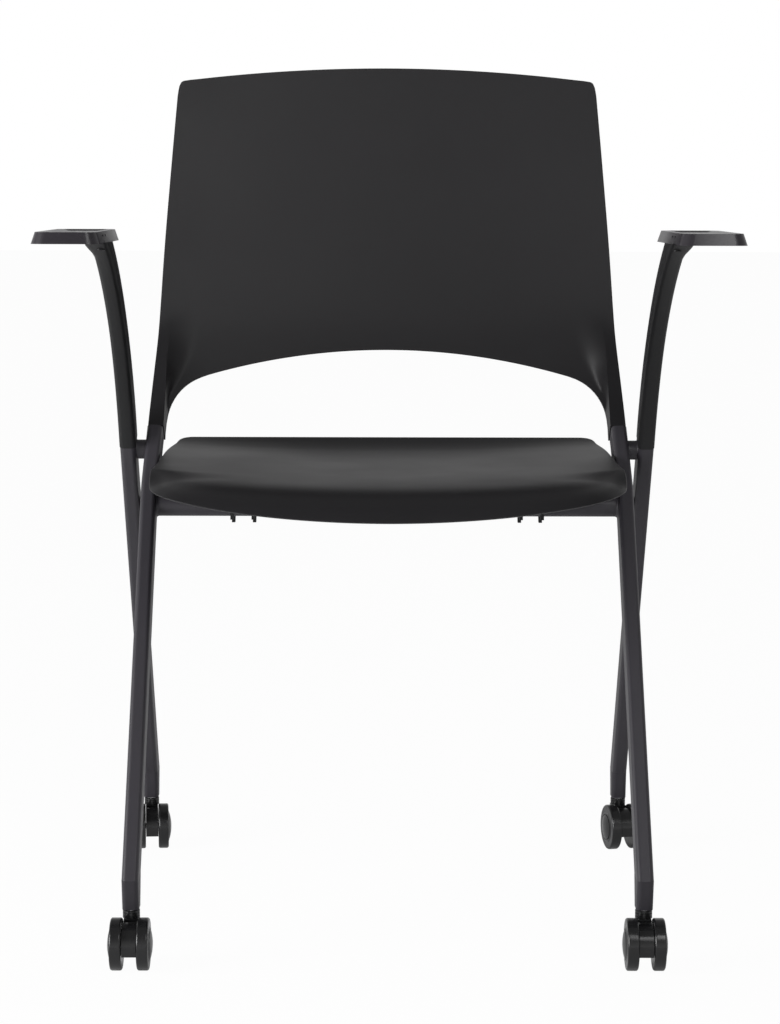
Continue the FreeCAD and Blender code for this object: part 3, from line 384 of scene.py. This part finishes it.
def round_edges(piece, width):
    rounding = piece.modifiers.new("Rounding", "BEVEL")
    rounding.limit_method = "WEIGHT"
    rounding.width = width
    rounding.segments = RIM_SEGMENTS
    rounding.harden_normals = True


# Seat, in millimetres

# the height of the middle line without the roll, and how much of the sideways dish there is, front to rear
SEAT_LINE = [(-250, 455.2), (-136, 455.5), (-46, 455.5), (54, 457.5), (129, 461), (149, 466), (164, 472.5)]
SEAT_DISH_SHARE = [(-250, 1), (54, 1), (129, 0.8), (149, 0.4), (164, 0)]
# the right half of the outline seen from above: the front edge and the side
SEAT_FRONT = [(0, -244), (60, -242.5), (120, -238), (170, -228), (197, -216), (214, -201)]
SEAT_SIDE = [(214, -201), (226, -179), (231.5, -150), (233.2, -119), (231.9, -70), (231.4, -20), (231.2, 30),
             (230.2, 75), (228, 110), (224, 148)]
SEAT_REAR_Y = 164
SEAT_REAR_X = 224
SEAT_REAR_CORNER = 16
SEAT_REAR_STEPS = 16
# how far the seat's sides stand above its middle
SEAT_HALF_WIDTH = 233.6
SEAT_DISH = 9
# the front edge rolls down, and to the sides a little less
ROLL_DEPTH = 27.4
ROLL_EASING = 3.6
ROLL_EASED_AT_X = 120
ROLL_STARTS_Y = -100
ROLL_GROWS_OVER = 50
ROLL_WIDTH = 21
LIP_HEIGHT = 453.8
LIP_ENDS_Y = -90
SEAT_CELLS = (84, 72)
SEAT_RIM_POINTS = 160


def sideways_dish(x):
    return SEAT_DISH * (x / SEAT_HALF_WIDTH) ** 2


def roll_drop(x):
    return ROLL_DEPTH - ROLL_EASING * (x / ROLL_EASED_AT_X) ** 2


def lip_level(x):
    """the height at which the rolled front ends"""
    return LIP_HEIGHT + sideways_dish(x) - roll_drop(x)


def gap_to(chain, point):
    """how far a point lies from a chain"""
    nearest = math.inf
    for start, end in zip(chain, chain[1:]):
        run = end - start
        t = min(max((point - start).dot(run) / run.length_squared, 0.0), 1.0)
        nearest = min(nearest, (start + run * t - point).length)
    return nearest


def seat_shape(thickness):
    front = smooth_chain(SEAT_FRONT)
    side = smooth_chain(SEAT_SIDE)
    corner_middle = Vector((SEAT_REAR_X - SEAT_REAR_CORNER, SEAT_REAR_Y - SEAT_REAR_CORNER))
    corner = arc(corner_middle, SEAT_REAR_CORNER, 0, 90, SEAT_REAR_STEPS)
    half = SEAT_REAR_STEPS // 2
    right = side[:-1] + corner[:half + 1]
    rear = [Vector((0, SEAT_REAR_Y)), *corner[half:][::-1]]
    shape = fill_patch(mirrored(front)[::-1] + front[1:], mirrored(rear)[::-1] + rear[1:],
                       mirrored(right), right, *SEAT_CELLS)
    rim = along(front + side[1:], SEAT_RIM_POINTS)
    for vert in shape.verts:
        x, y = abs(vert.co.x), vert.co.y
        dish = sideways_dish(x) * through(SEAT_DISH_SHARE, y)
        growth = smooth_step((ROLL_STARTS_Y - y) / ROLL_GROWS_OVER)
        roll = roll_drop(x) * growth * math.exp(-gap_to(rim, Vector((x, y))) / ROLL_WIDTH)
        vert.co.z = through(SEAT_LINE, y) + dish - roll
    bmesh.ops.recalc_face_normals(shape, faces=shape.faces)
    shape.normal_update()
    up = 1 if sum(vert.normal.z for vert in shape.verts) > 0 else -1
    under = shape.copy()
    under.normal_update()
    for vert in under.verts:
        reach = abs(vert.co.x)
        vert.co -= vert.normal * thickness * up
        vert.co.x = min(max(vert.co.x, -reach), reach)
        if vert.co.y < LIP_ENDS_Y:
            vert.co.z = max(vert.co.z, lip_level(vert.co.x))
    join_in(shape, under)
    close_rim(shape, lambda middle: 1.0)
    return shape


# Back, in millimetres

# how far back the middle of the panel lies at each height
BACK_LINE = [(466, 94.5), (476.5, 102.2), (500, 119.5), (520, 131), (560, 151), (600, 168), (650, 183),
             (725, 201.5), (800, 217), (885, 234)]
# how far back the front face of a horn lies at each height, until it sinks into the panel
HORN_LINE = [(466, 34.5), (494.3, 55.5), (520, 77), (555, 107), (583, 131), (619, 156)]
HORN_ENDS_Z = 619
# above this height nothing of the horn is left, and it fades over this stretch below it
HORN_GONE_Z = 649
HORN_FADE = 40
HORN_SOFTNESS = 3
# the right edge of the back, and how wide a band the horn's face takes along it, by height
BACK_EDGE = [(476.5, 248.6), (494.3, 248.4), (530, 246.3), (575, 243.4), (675, 238), (758, 232), (850, 224.6)]
BAND_WIDTH = [(470, 16), (494.3, 16), (520, 14.7), (555, 12.2), (600, 11.4), (880, 12)]
# how far the horn's inner side takes to run out into the panel, by height
WEB_WIDTH = [(494.3, 1.5), (519, 2), (540, 13), (565, 26), (600, 34), (880, 34)]
HORN_REAR_BASE = 476.5
HORN_FRONT_BASE = 494.3
PLAN_RADIUS = 1150
ARCH_TOP = 567
ARCH_RADIUS = 723
ARCH_CORNER = 50
ARCH_SIDE = 232.4
BACK_TOP = 868.5
BACK_DROP = 15.5
BACK_TOP_X = 224
BACK_CORNER = 7
CREASE_TOP_X = 211
# the bevel is full along the horns' edges and less along the panel's
PANEL_WEIGHT = 0.4
HORN_RIM_Z = 600
HORN_RIM_FADE_Z = 70
HORN_RIM_X = 205
HORN_RIM_FADE_X = 20
# the crease along the horn's face is bevelled in front, up to this height
CREASE_WEIGHT = 0.8
CREASE_ENDS_Z = 575
CREASE_FRONT_Y = 128
CREASE_REACH = 0.02
# how finely the back is cut: along its edges, its top, the arch, its corners, the panel and the bands
EDGE_STEPS = 48
TOP_STEPS = 24
ARCH_CORNER_STEPS = 20
ARCH_STEPS = 24
BACK_CORNER_STEPS = 8
PANEL_CELLS = (96, 72)
BAND_CELLS = (6, 72)


def top_z(x):
    return BACK_TOP - BACK_DROP * (x / BACK_TOP_X) ** 2


def crease_x(z):
    """the inner edge of the horn's face"""
    return min(through(BACK_EDGE, z) - through(BAND_WIDTH, z), ARCH_SIDE)


def arch_chain(base):
    """the right half of the open arch, from the foot of the horn's inner side to the middle"""
    middle_z = ARCH_TOP - ARCH_RADIUS
    small_x = ARCH_SIDE - ARCH_CORNER
    small_z = middle_z + math.sqrt((ARCH_RADIUS - ARCH_CORNER) ** 2 - small_x ** 2)
    meet = math.degrees(math.atan2(small_z - middle_z, small_x))
    start = max(0.0, math.degrees(math.asin((base - small_z) / ARCH_CORNER)))
    corner = arc(Vector((small_x, small_z)), ARCH_CORNER, start, meet, ARCH_CORNER_STEPS)
    sweep = arc(Vector((0, middle_z)), ARCH_RADIUS, meet, 90, ARCH_STEPS)
    foot = [Vector((ARCH_SIDE, base))] if base < small_z else []
    return foot + corner + sweep[1:]


def back_face(base, behind, thickness):
    """one face of the back: the panel between the horns' creases, and a band outside each crease"""
    crease = [Vector((crease_x(z), z)) for z in stations(base, top_z(CREASE_TOP_X), EDGE_STEPS)]
    arch = arch_chain(base)
    arch[0] = crease[0].copy()
    top = [Vector((x, top_z(x))) for x in stations(0, crease[-1].x, TOP_STEPS)]
    top[-1] = crease[-1].copy()
    shape = fill_patch(mirrored(arch) + arch[::-1][1:], mirrored(top)[::-1] + top[1:],
                       mirrored(crease), crease, *PANEL_CELLS)
    corner_x = BACK_TOP_X - BACK_CORNER
    corner_z = top_z(corner_x) - BACK_CORNER
    corner = arc(Vector((corner_x, corner_z)), BACK_CORNER, 0, 90, BACK_CORNER_STEPS)
    half = BACK_CORNER_STEPS // 2
    side = [Vector((through(BACK_EDGE, z), z)) for z in stations(base, corner_z, EDGE_STEPS)]
    band = fill_patch([crease[0], side[0]], [crease[-1], *corner[half:][::-1]],
                      crease, side[:-1] + corner[:half + 1], *BAND_CELLS)
    join_in(shape, band.copy(), Matrix.Scale(-1, 4, (1, 0, 0)))
    join_in(shape, band)
    bmesh.ops.remove_doubles(shape, verts=shape.verts, dist=MERGE_DISTANCE)
    for vert in shape.verts:
        x, z = abs(vert.co.x), vert.co.y
        curve = math.sqrt(PLAN_RADIUS ** 2 - x ** 2) - PLAN_RADIUS
        y = through(BACK_LINE, z) + curve + (thickness / 2 if behind else -thickness / 2)
        if not behind:
            level = min(z, HORN_ENDS_Z)
            stand = through(BACK_LINE, level) + curve - thickness / 2 - through(HORN_LINE, level)
            fade = smooth_step((HORN_GONE_Z - z) / HORN_FADE)
            raised = 0.5 * (stand + math.hypot(stand, HORN_SOFTNESS)) * fade
            y -= raised * max(0.0, 1 - max(0.0, crease_x(z) - x) / through(WEB_WIDTH, z)) ** 2
        vert.co = (vert.co.x, y, z)
    return shape


def back_shape(thickness):
    shape = back_face(HORN_FRONT_BASE, False, thickness)
    join_in(shape, back_face(HORN_REAR_BASE, True, thickness))

    def weight_at(middle):
        low = smooth_step((HORN_RIM_Z - middle.z) / HORN_RIM_FADE_Z)
        far_out = smooth_step((abs(middle.x) - HORN_RIM_X) / HORN_RIM_FADE_X)
        return PANEL_WEIGHT + (1 - PANEL_WEIGHT) * low * far_out

    weight = close_rim(shape, weight_at)
    for edge in shape.edges:
        ends = [vert.co for vert in edge.verts]
        on_crease = all(abs(abs(end.x) - crease_x(end.z)) < CREASE_REACH for end in ends)
        in_reach = max(end.z for end in ends) < CREASE_ENDS_Z and min(end.y for end in ends) < CREASE_FRONT_Y
        if on_crease and in_reach and edge[weight] == 0 and len(edge.link_faces) == 2:
            edge[weight] = CREASE_WEIGHT
    return shape


# Arm posts, in millimetres: one long arc from the rear leg's end to the underside of the pad

LEG_FOOT = Vector((263.9, 262, 86))
LEG_HUB = Vector((268.3, 55, 469))
LEG_LENGTH = 446
ARM_RADIUS = 484
ARM_END_ANGLE = 72
ARM_LEAN_OUT = 6
ARM_WIDTH = 17
ARM_CORNER = 4.5
ARM_DEPTH_LOW = 30
ARM_DEPTH_HIGH = 23
SLIMS_BY = 0.45
ARM_FLARE = 6
FLARE_STARTS_Z = 673
FLARE_ENDS_Z = 687
# the post ends a little inside the pad
ARM_TOP_Z = 688
ARM_RINGS = 40
ARM_CORNER_STEPS = 5


def rounded_ring(width, depth, radius):
    """a rounded rectangle as a ring of points"""
    ring = []
    for i, (across, deep) in enumerate(((1, 1), (-1, 1), (-1, -1), (1, -1))):
        centre = Vector((across * (width / 2 - radius), deep * (depth / 2 - radius)))
        ring += arc(centre, radius, 90 * i, 90 * i + 90, ARM_CORNER_STEPS)
    return ring


def arm_shape(side):
    up = (LEG_HUB - LEG_FOOT).normalized()
    end = LEG_FOOT + up * LEG_LENGTH
    start = math.atan2(-up.y, up.z)
    around = len(rounded_ring(ARM_WIDTH, ARM_WIDTH, ARM_CORNER))
    shape = bmesh.new()
    bmesh.ops.create_grid(shape, x_segments=around, y_segments=ARM_RINGS, size=1)
    for vert in shape.verts:
        share = round((vert.co.y + 1) / 2 * ARM_RINGS) / ARM_RINGS
        depth = ARM_DEPTH_HIGH + (ARM_DEPTH_LOW - ARM_DEPTH_HIGH) * (1 - smooth_step(share / SLIMS_BY))
        ring = rounded_ring(ARM_WIDTH, depth, ARM_CORNER)
        point = ring[round((vert.co.x + 1) / 2 * around) % around]
        angle = start + (math.radians(ARM_END_ANGLE) - start) * share
        y = end.y + ARM_RADIUS * (math.cos(angle) - math.cos(start)) + math.cos(angle) * point.y
        z = end.z + ARM_RADIUS * (math.sin(angle) - math.sin(start)) + math.sin(angle) * point.y
        flare = ARM_FLARE * smooth_step((z - FLARE_STARTS_Z) / (FLARE_ENDS_Z - FLARE_STARTS_Z))
        x = end.x + ARM_LEAN_OUT * share ** 2 + point.x + (flare if point.x > 0 else 0)
        vert.co = (side * x, y, z)
    bmesh.ops.remove_doubles(shape, verts=shape.verts, dist=MERGE_DISTANCE)
    bmesh.ops.bisect_plane(shape, geom=shape.verts[:] + shape.edges[:] + shape.faces[:],
                           plane_co=(0, 0, ARM_TOP_Z), plane_no=(0, 0, 1), clear_outer=True)
    bmesh.ops.holes_fill(shape, edges=[edge for edge in shape.edges if edge.is_boundary])
    bmesh.ops.recalc_face_normals(shape, faces=shape.faces)
    return shape


# Arm pads, in millimetres

PAD_MIDDLE = Vector((301, -133.5, 687))
PAD_SIZE = Vector((65, 215, 11))
PAD_CORNER = 14
PAD_DRAFT = 3.5
PAD_BORDER = 7
PAD_SLOPE = 5
PAD_CORNER_STEPS = 8
# an edge with more than the first angle is a corner, and one with more than the second bounds the dish
CORNER_ANGLE = math.radians(40)
DISH_ANGLE = math.radians(5)
TOP_WEIGHT = 1.0
FOOT_WEIGHT = 0.5
DISH_WEIGHT = 0.6


def pad_shape(side, dish):
    """a plate with rounded corners and leaning sides, and a shallow dish in its top"""
    shape = bmesh.new()
    weight = shape.edges.layers.float.new("bevel_weight_edge")
    bmesh.ops.create_cube(shape, size=1)
    bmesh.ops.translate(shape, vec=(0, 0, 0.5), verts=shape.verts)
    bmesh.ops.scale(shape, vec=PAD_SIZE, verts=shape.verts)
    uprights = [edge for edge in shape.edges if abs(edge.verts[0].co.z - edge.verts[1].co.z) > 1]
    bmesh.ops.bevel(shape, geom=uprights, offset=PAD_CORNER, segments=PAD_CORNER_STEPS, profile=0.5,
                    affect="EDGES", material=-1)
    high = [vert for vert in shape.verts if vert.co.z > 1]
    lean = [1 - 2 * PAD_DRAFT / span for span in (PAD_SIZE.x, PAD_SIZE.y)]
    bmesh.ops.scale(shape, vec=(*lean, 1), verts=high)
    top = max(shape.faces, key=lambda face: face.calc_center_median().z)
    bmesh.ops.inset_region(shape, faces=[top], thickness=PAD_BORDER)
    bmesh.ops.inset_region(shape, faces=[top], thickness=PAD_SLOPE, depth=-dish)
    for edge in shape.edges:
        angle = edge.calc_face_angle(0)
        if angle > CORNER_ANGLE:
            edge[weight] = TOP_WEIGHT if edge.verts[0].co.z > 1 else FOOT_WEIGHT
        elif angle > DISH_ANGLE and min(vert.co.z for vert in edge.verts) > 1:
            edge[weight] = DISH_WEIGHT
    middle = Vector((side * PAD_MIDDLE.x, PAD_MIDDLE.y, PAD_MIDDLE.z))
    bmesh.ops.translate(shape, vec=middle, verts=shape.verts)
    return shape


# Stage, in metres

SENSOR_HEIGHT = 36
FARTHEST_SEEN = 100
FLOOR_REACH = 30
# the surroundings fade from the walls' light to the ceiling's between these two heights of a unit sphere
WALL_ENDS = 0.05
CEILING_STARTS = 0.65
# each lamp's name, place, aim and width
KEY_LAMP = ("Key", (0.95, -2.1, 2.0), (-0.1, 0.1, 0.7), 0.9)
SIDE_LAMP = ("Side", (-2.3, -1.2, 0.9), (-0.2, 0, 0.4), 1.4)


def aim_camera(settings):
    data = bpy.data.cameras.new("Camera")
    data.sensor_fit = "VERTICAL"
    data.sensor_height = SENSOR_HEIGHT
    data.lens = settings.lens
    data.clip_end = FARTHEST_SEEN
    camera = bpy.data.objects.new("Camera", data)
    turn = Matrix.Rotation(-settings.yaw, 4, "Z") @ Matrix.Rotation(math.pi / 2 - settings.pitch, 4, "X")
    tip = Matrix.Rotation(settings.roll, 4, "Z")
    camera.matrix_world = Matrix.Translation(settings.eye) @ turn @ tip
    bpy.context.scene.collection.objects.link(camera)
    bpy.context.scene.camera = camera


def add_lamp(name, place, target, width, power):
    data = bpy.data.lights.new(name, "AREA")
    data.shape = "SQUARE"
    data.size = width
    data.energy = power
    lamp = bpy.data.objects.new(name, data)
    lamp.location = place
    lamp.rotation_euler = (Vector(target) - Vector(place)).to_track_quat("-Z", "Y").to_euler()
    bpy.context.scene.collection.objects.link(lamp)


def seen_pale(tree, lit, pale, mirrored_share):
    """the lit shader for diffuse light, and the pale one for the camera, for glass and for part of each
    reflection"""
    path = add(tree, "ShaderNodeLightPath")
    mirrors = add(tree, "ShaderNodeMath", {"operation": "MULTIPLY"},
                  {0: (path, "Is Glossy Ray"), 1: mirrored_share})
    eye = add(tree, "ShaderNodeMath", {"operation": "MAXIMUM"},
              {0: (path, "Is Camera Ray"), 1: (path, "Is Transmission Ray")})
    view = add(tree, "ShaderNodeMath", {"operation": "MAXIMUM"}, {0: (eye, 0), 1: (mirrors, 0)})
    return add(tree, "ShaderNodeMixShader", inputs={0: (view, 0), 1: (lit, 0), 2: (pale, 0)})


def light_world(settings):
    world = bpy.data.worlds.new("Studio")
    bpy.context.scene.world = world
    world.use_nodes = True
    tree = world.node_tree
    tree.nodes.clear()
    place = add(tree, "ShaderNodeTexCoord")
    height = add(tree, "ShaderNodeSeparateXYZ", inputs={0: (place, "Generated")})
    strength = add(tree, "ShaderNodeMapRange", inputs={
        "Value": (height, "Z"), "From Min": WALL_ENDS, "From Max": CEILING_STARTS,
        "To Min": settings.wall_light, "To Max": settings.ceiling_light})
    dim = add(tree, "ShaderNodeBackground", inputs={"Color": (1, 1, 1, 1), "Strength": (strength, 0)})
    white = add(tree, "ShaderNodeBackground", inputs={"Color": (1, 1, 1, 1), "Strength": 1.0})
    mixed = seen_pale(tree, dim, white, settings.mirrored_share)
    add(tree, "ShaderNodeOutputWorld", inputs={"Surface": (mixed, 0)})


def lay_floor(settings):
    mesh = bpy.data.meshes.new("Floor")
    shape = bmesh.new()
    bmesh.ops.create_grid(shape, x_segments=1, y_segments=1, size=FLOOR_REACH)
    shape.to_mesh(mesh)
    shape.free()
    floor = bpy.data.objects.new("Floor", mesh)
    bpy.context.scene.collection.objects.link(floor)
    material, tree = new_material("White studio floor")
    paint = add(tree, "ShaderNodeBsdfDiffuse", inputs={"Color": (*settings.floor_tone, 1)})
    glow = add(tree, "ShaderNodeEmission", inputs={"Color": (1, 1, 1, 1), "Strength": 1.0})
    veiled = add(tree, "ShaderNodeMixShader", inputs={0: settings.floor_veil, 1: (paint, 0), 2: (glow, 0)})
    finish_surface(tree, seen_pale(tree, paint, veiled, settings.mirrored_share))
    mesh.materials.append(material)


class CHAIR_OT_stage(Operator):
    """Add the pale floor, the soft studio light and the camera"""
    bl_idname = "chair.stage"
    bl_label = "Stage"

    def execute(self, context):
        settings = context.scene.chair_studio
        aim_camera(settings)
        light_world(settings)
        lay_floor(settings)
        add_lamp(*KEY_LAMP, settings.key_power)
        add_lamp(*SIDE_LAMP, settings.side_power)
        context.scene.view_settings.view_transform = "Standard"
        return {"FINISHED"}


class CHAIR_OT_side_frames(Operator):
    """Powder coat the legs, bridges and rails"""
    bl_idname = "chair.side_frames"
    bl_label = "Side frames"

    def execute(self, context):
        colours = context.scene.chair_colours
        sizes = context.scene.chair_sizes
        coat = powder_coat("Powder-coated steel", colours.steel, sizes.orange_peel)
        tubes = ["%s_leg_%s" % (end, side) for end in ("front", "rear") for side in SIDES]
        bridges = ["hub_bridge_" + side for side in SIDES]
        cover(tubes + bridges + ["seat_rest_rail", "hinge_rail"], coat)
        return {"FINISHED"}


class CHAIR_OT_shells(Operator):
    """Finish the seat and the back"""
    bl_idname = "chair.shells"
    bl_label = "Seat and back"

    def execute(self, context):
        colours = context.scene.chair_colours
        sizes = context.scene.chair_sizes
        plastic = moulded_plastic("Moulded polypropylene", colours.shell, sizes.grain)
        seat = new_piece("seat", seat_shape(sizes.seat_thickness / MM), "seat", plastic, ["seat_shell"])
        round_edges(seat, sizes.seat_rim)
        back = new_piece("back", back_shape(sizes.back_thickness / MM), "frame", plastic, ["back_shell"])
        round_edges(back, sizes.back_rim)
        return {"FINISHED"}


class CHAIR_OT_arms(Operator):
    """Finish the arm posts and their pads"""
    bl_idname = "chair.arms"
    bl_label = "Arms"

    def execute(self, context):
        colours = context.scene.chair_colours
        sizes = context.scene.chair_sizes
        nylon = moulded_plastic("Glass-filled nylon", colours.arm, sizes.grain, 0.44)
        satin = moulded_plastic("Moulded pad plastic", colours.pad, sizes.grain, 0.3, 0.5)
        for word, side in SIDES.items():
            pad = new_piece("pad_" + word, pad_shape(side, sizes.pad_dish / MM), "frame", satin,
                            ["arm_pad_" + word])
            round_edges(pad, sizes.pad_rim)
            new_piece("post_" + word, arm_shape(side), "frame", nylon, ["arm_" + word])
        return {"FINISHED"}


class CHAIR_OT_casters(Operator):
    """Finish the ferrules, stems, forks, wheels and caps"""
    bl_idname = "chair.casters"
    bl_label = "Casters"

    def execute(self, context):
        colours = context.scene.chair_colours
        sizes = context.scene.chair_sizes
        nylon = gloss_nylon("Polished nylon", colours.caster)
        zinc = plated_steel("Zinc-plated steel", colours.zinc)
        cover(["ferrule_" + corner for corner in CORNERS],
              moulded_plastic("Moulded nylon ferrule", colours.ferrule, sizes.grain, 0.45))
        for corner in CORNERS:
            cover(["caster_stem_" + corner, "caster_axle_" + corner], zinc)
            tails = [corner + "_inner", corner + "_outer"]
            cover(["caster_fork_" + corner] + ["caster_wheel_" + tail for tail in tails]
                  + ["caster_cap_" + tail for tail in tails], nylon)
        return {"FINISHED"}


class CHAIR_OT_hardware(Operator):
    """Finish the brackets, hinge caps, screws and rest pads"""
    bl_idname = "chair.hardware"
    bl_label = "Brackets and screws"

    def execute(self, context):
        colours = context.scene.chair_colours
        sizes = context.scene.chair_sizes
        cover(["%s_%s" % (name, side) for name in ("seat_bracket", "hinge_cap") for side in SIDES],
              moulded_plastic("Glass-filled bracket nylon", colours.arm, sizes.grain, 0.5))
        cover(["back_screws", "arm_screws", "pad_screws", "seat_screws", "cap_screws"],
              black_oxide("Black oxide steel", colours.screw))
        cover(["rest_pads"], soft_rubber("Moulded rubber", colours.screw))
        return {"FINISHED"}


class CHAIR_PT_panel(Panel):
    """The chair's pieces, sizes and colours"""
    bl_label = "Nesting chair"
    bl_space_type = "VIEW_3D"
    bl_region_type = "UI"
    bl_category = "Chair"

    def draw(self, context):
        for operator in OPERATORS:
            self.layout.operator(operator.bl_idname)
        for group in (context.scene.chair_sizes, context.scene.chair_colours, context.scene.chair_studio):
            for name in group.__annotations__:
                self.layout.prop(group, name)


GROUPS = {"chair_sizes": ChairSizes, "chair_colours": ChairColours, "chair_studio": StudioSettings}
OPERATORS = (CHAIR_OT_side_frames, CHAIR_OT_shells, CHAIR_OT_arms, CHAIR_OT_casters, CHAIR_OT_hardware,
             CHAIR_OT_stage)


def register():
    for cls in (*GROUPS.values(), *OPERATORS, CHAIR_PT_panel):
        bpy.utils.register_class(cls)
    for name, group in GROUPS.items():
        setattr(bpy.types.Scene, name, PointerProperty(type=group))


def unregister():
    for name in GROUPS:
        delattr(bpy.types.Scene, name)
    for cls in (CHAIR_PT_panel, *reversed(OPERATORS), *reversed(GROUPS.values())):
        bpy.utils.unregister_class(cls)


def main():
    register()
    for operator in OPERATORS:
        getattr(bpy.ops.chair, operator.bl_idname.split(".")[1])()


if __name__ == "__main__":
    main()
